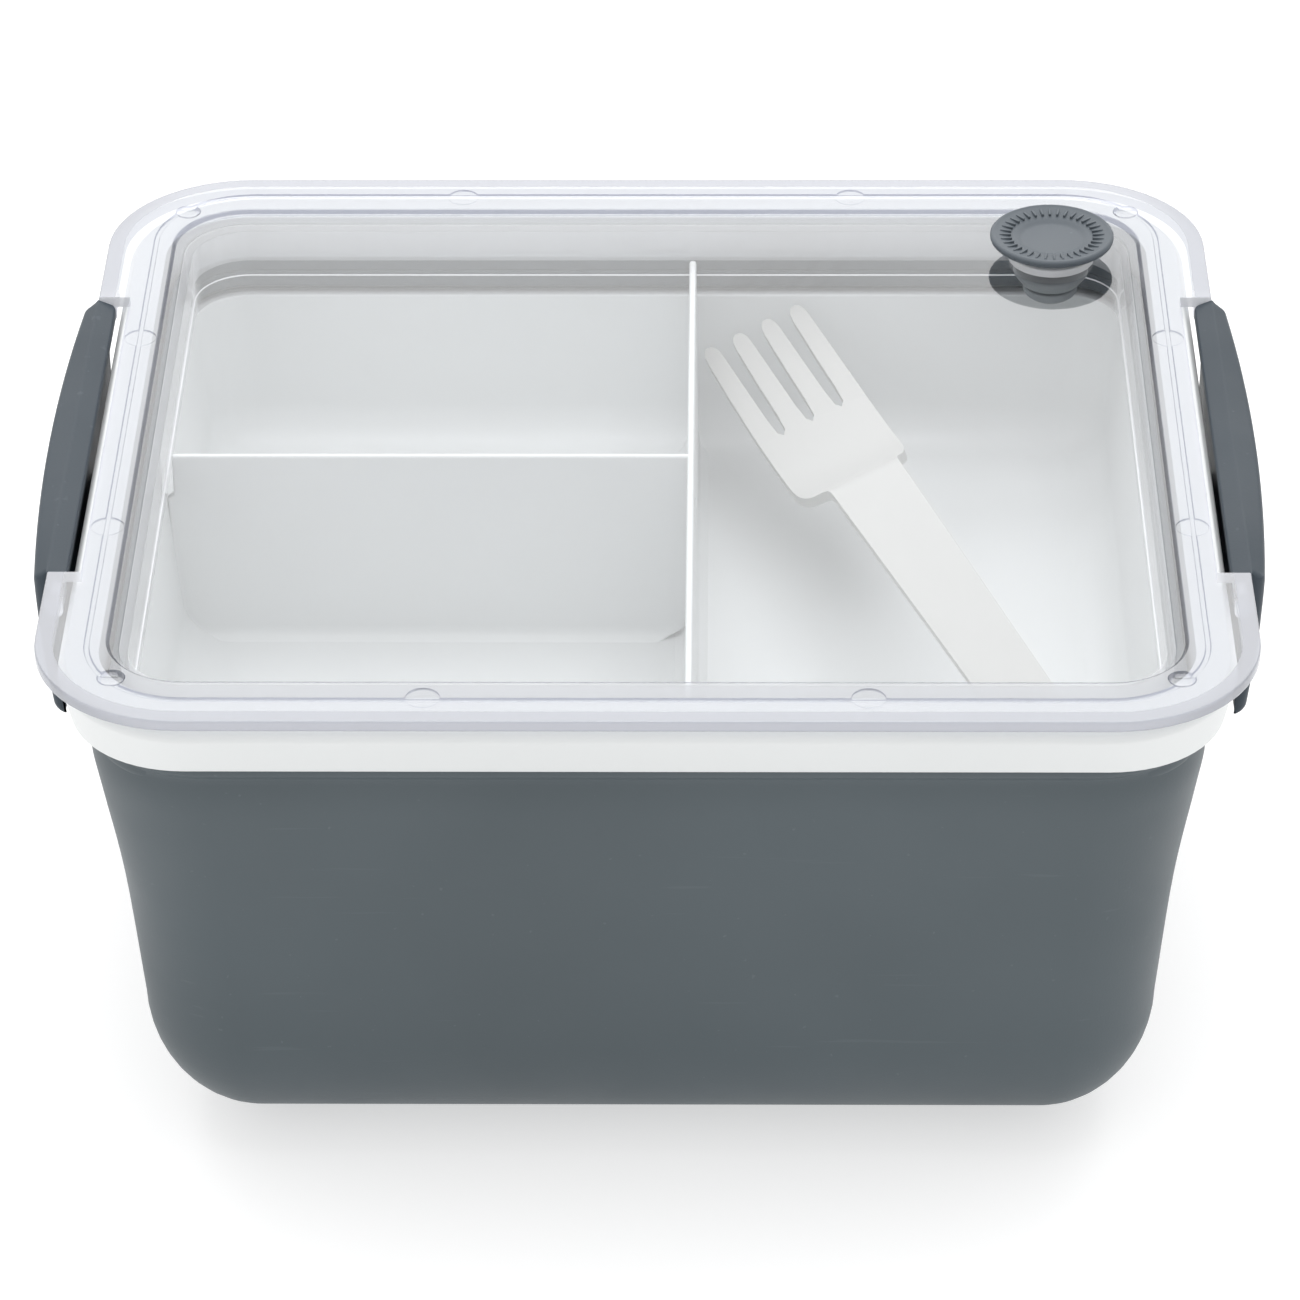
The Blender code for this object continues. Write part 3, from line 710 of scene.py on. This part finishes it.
def make_vent(slate, grey):
    cap = [
        ((0, -2.9), 0), ((5.6, -2.95), 0.4), ((6.6, -3.35), 0.4), ((10.2, -4.0), 0.3), ((10.7, -4.2), 0.3),
        ((11.3, -3.8), 0.5), ((11.1, -2.9), 0.5), ((9.6, -2.3), 0.5), ((5.2, -2.1), 0.6), ((3.7, -1.6), 0.6),
        ((3.7, 1.2), 0.2), ((0, 1.2), 0),
    ]
    stem = [((0, 1.0), 0), ((3.65, 1.0), 0.2), ((3.65, 6.2), 0.2), ((4.9, 6.4), 0.3), ((4.9, 7.6), 0.4),
            ((3.6, 8.7), 0.4), ((0, 8.7), 0)]
    dress(weight_normals(turned("vent_stem", soften(stem), VENT)), grey, "button", "seal_grey")
    button = turned("vent_button", soften(cap), VENT)
    dress(weight_normals(button), slate, "button", "button_slate", "release_button")
    ribs = []
    for k in range(RIBS):
        angle = 2 * math.pi * k / RIBS
        rib = bmesh.new()
        bmesh.ops.create_cube(rib, size=1.0)
        spoke = Matrix.Translation((VENT.x, VENT.y, RIB_MIDDLE[1])) @ Matrix.Rotation(angle, 4, "Z")
        shape = Matrix.Translation((RIB_MIDDLE[0], 0, 0)) @ Matrix.Diagonal((*RIB_SIZE, 1.0))
        bmesh.ops.transform(rib, verts=rib.verts, matrix=spoke @ shape)
        ribs.append(finish_mesh("rib", rib))
    dress(round_edges(joined("vent_button_ribs", ribs), 0.12, 2), slate, "button", "button_slate")
    section = [((4.1, 2.9), 0.2), ((6.6, 2.9), 0.3), ((6.9, 3.3), 0.2), ((6.6, 4.0), 0.4), ((5.2, 5.8), 0.4),
               ((4.1, 5.8), 0.2)]
    collar = turned("vent_collar", soften(section, closed=True), VENT, closed=True)
    dress(collar, grey, "lid", "seal_grey", "vent_seal")


# ---- the fork ----
FORK_TURN, FORK_ROLL = 19.3, 19.2  # degrees
FORK_NECK = (37.4, 9.7, 15.9)
TINE_PITCH, FORK_THICK = 5.9, 2.2
SLOT_ROOT = 34.5
HEAD_HALF = 1.5 * TINE_PITCH + 1.9
# (distance from the neck, height of the underside, half width)
FORK_ROWS = (
    (-87.5, -2.1, 4.4), (-87.1, -2.1, 5.0), (-86.0, -2.1, 5.4), (-72.0, -1.8, 5.6), (-50.0, -1.4, 5.9),
    (-25.0, -1.0, 6.3), (-6.0, -1.0, 6.6), (0.0, -1.3, 6.7), (3.5, -3.2, 7.6), (8.0, -6.4, 9.3),
    (14.0, -9.2, 10.5), (22.0, -10.5, 10.7), (SLOT_ROOT, -10.5, HEAD_HALF),
)
# (distance from the slots' root, height of the underside, width of a tine)
TINE_ROWS = (
    (0.5, -10.45, 5.3), (1.2, -10.4, 4.3), (6.0, -10.0, 3.8), (15.5, -9.1, 3.6),
    (26.5, -7.5, 3.2), (28.6, -7.2, 2.9), (29.9, -7.0, 1.9), (30.4, -6.95, 0.9),
)
TINE_FULL, SIDE_REACH = 3.8, 1.9  # full width of a tine, and how far an outer tine reaches past its middle


def make_fork(white):
    """A sheet of cells with three slots between four tines, thickened upwards with its edges rounded."""
    stations = [(along, height, half, TINE_PITCH - 0.3) for along, height, half in smooth_curve(FORK_ROWS, 3)]
    stations += [(SLOT_ROOT + along, height, HEAD_HALF, wide) for along, height, wide in TINE_ROWS]
    bm = bmesh.new()
    rows = []
    for along, height, half, wide in stations:
        row = []
        for tine in (-1.5, -0.5, 0.5, 1.5):
            outer = tine * TINE_PITCH
            for edge in (-0.5, 0.0, 0.5):
                at_side = abs(tine) == 1.5 and edge * tine > 0
                reach = SIDE_REACH * min(wide / TINE_FULL, 1.0) if at_side else abs(edge) * wide
                x = outer + math.copysign(reach, edge) if edge else outer
                row.append(bm.verts.new((x * half / HEAD_HALF, along, height)))
        rows.append(row)
    for (along, _, _, _), here, there in zip(stations, rows, rows[1:]):
        for cell in range(11):
            in_slot = cell % 3 == 2 and along >= SLOT_ROOT - 0.01
            if not in_slot:
                bm.faces.new((here[cell], here[cell + 1], there[cell + 1], there[cell]))
    raised = bmesh.ops.extrude_face_region(bm, geom=list(bm.faces))["geom"]
    top = [part for part in raised if isinstance(part, bmesh.types.BMVert)]
    bmesh.ops.translate(bm, vec=(0.0, 0.0, FORK_THICK), verts=top)
    turn = Matrix.Rotation(math.radians(FORK_TURN), 4, "Z")
    roll = Matrix.Rotation(math.radians(-FORK_ROLL), 4, "Y")
    place = Matrix.Translation((FORK_NECK[0], FORK_NECK[1], -FORK_NECK[2])) @ (turn @ roll)
    bmesh.ops.transform(bm, matrix=place, verts=bm.verts)
    fork = finish_mesh("fork_body", bm, 60.0)
    dress(weight_normals(round_edges(fork, 0.45, 3, 50.0)), white, "fork", "fork_white", "fork")


# ---- camera, light and floor ----
LENS, CAMERA_AT = 157.7, (12.8, -846.6, 603.9)
PITCH, YAW, ROLL = 32.927, -0.903, -0.433  # degrees


def make_camera():
    pitch, yaw, roll = (math.radians(angle) for angle in (PITCH, YAW, ROLL))
    forward = Vector((math.sin(yaw) * math.cos(pitch), math.cos(yaw) * math.cos(pitch), -math.sin(pitch)))
    right = Vector((math.cos(yaw), -math.sin(yaw), 0.0))
    up = right.cross(forward)
    level_right = right * math.cos(roll) + up * math.sin(roll)
    level_up = up * math.cos(roll) - right * math.sin(roll)
    data = bpy.data.cameras.new("camera")
    data.lens = LENS
    data.sensor_width = 36.0
    data.clip_end = 50.0
    camera = bpy.data.objects.new("camera", data)
    bpy.context.scene.collection.objects.link(camera)
    turn = Matrix((level_right, level_up, -forward)).transposed().to_4x4()
    camera.matrix_world = Matrix.Translation(Vector(CAMERA_AT) * MM) @ turn
    bpy.context.scene.camera = camera


def soft_light(name, place, aim, size, power):
    data = bpy.data.lights.new(name, "AREA")
    data.shape = "RECTANGLE"
    data.size, data.size_y = size
    data.energy = power
    light = bpy.data.objects.new(name, data)
    light.location = place
    light.rotation_euler = (Vector(aim) - Vector(place)).to_track_quat("-Z", "Y").to_euler()
    bpy.context.scene.collection.objects.link(light)


def make_stage():
    world = bpy.data.worlds.new("studio")
    bpy.context.scene.world = world
    world.use_nodes = True
    background = world.node_tree.nodes["Background"]
    background.inputs["Color"].default_value = (1.0, 1.0, 1.0, 1.0)
    background.inputs["Strength"].default_value = 0.80
    soft_light("overhead", (0.0, 0.2, 1.5), (0.0, 0.0, 0.1), (1.6, 1.2), 12.0)
    soft_light("behind", (0.0, 1.3, 0.95), (0.0, 0.0, 0.1), (2.2, 1.0), 11.0)
    soft_light("key", (-1.2, -0.9, 0.9), (0.0, 0.0, 0.05), (0.9, 0.9), 1.0)

    bm = bmesh.new()
    bmesh.ops.create_grid(bm, x_segments=1, y_segments=1, size=6000.0)
    bmesh.ops.translate(bm, vec=(0, 0, -RING_TOP - 0.05), verts=bm.verts)
    floor = finish_mesh("floor", bm)
    floor_shader = Shader("floor_white", (0.60, 0.60, 0.60), 0.9)
    floor_shader.main.inputs["Specular IOR Level"].default_value = 0.0
    floor_shader.main.inputs["Emission Color"].default_value = (1.0, 1.0, 1.0, 1.0)
    floor_shader.main.inputs["Emission Strength"].default_value = 0.55
    floor.data.materials.append(floor_shader.material)


def main():
    slate = moulded("tub_slate_plastic", (0.060, 0.079, 0.090), 0.48, dust=0.2)
    white = moulded("tray_white_plastic", (0.715, 0.73, 0.73), 0.38, grain=0.00001, mottle=0.01)
    fork_white = moulded("fork_white_plastic", (0.50, 0.50, 0.485), 0.42, grain=0.00001, mottle=0.01)
    latch = moulded("latch_slate_plastic", (0.043, 0.057, 0.071), 0.42, dust=0.4, specular=0.2)
    button = moulded("button_slate_plastic", (0.092, 0.108, 0.124), 0.45, dust=0.2, specular=0.3)
    grey = moulded("seal_silicone", (0.045, 0.068, 0.088), 0.5, grain=0.00001)
    pale = moulded("vent_silicone", (0.34, 0.36, 0.37), 0.5, grain=0.00001)
    looks = lid_looks()
    make_tub(slate)
    make_tray(white)
    make_lid(looks)
    make_seal(grey)
    make_latch("latch_left_lever", -1, "left_latch", latch)
    make_latch("latch_right_lever", 1, "right_latch", latch)
    make_vent(button, pale)
    make_fork(fork_white)
    make_camera()
    make_stage()
    bpy.context.scene.view_settings.view_transform = "Standard"


main()
bpy.context.view_layer.update()
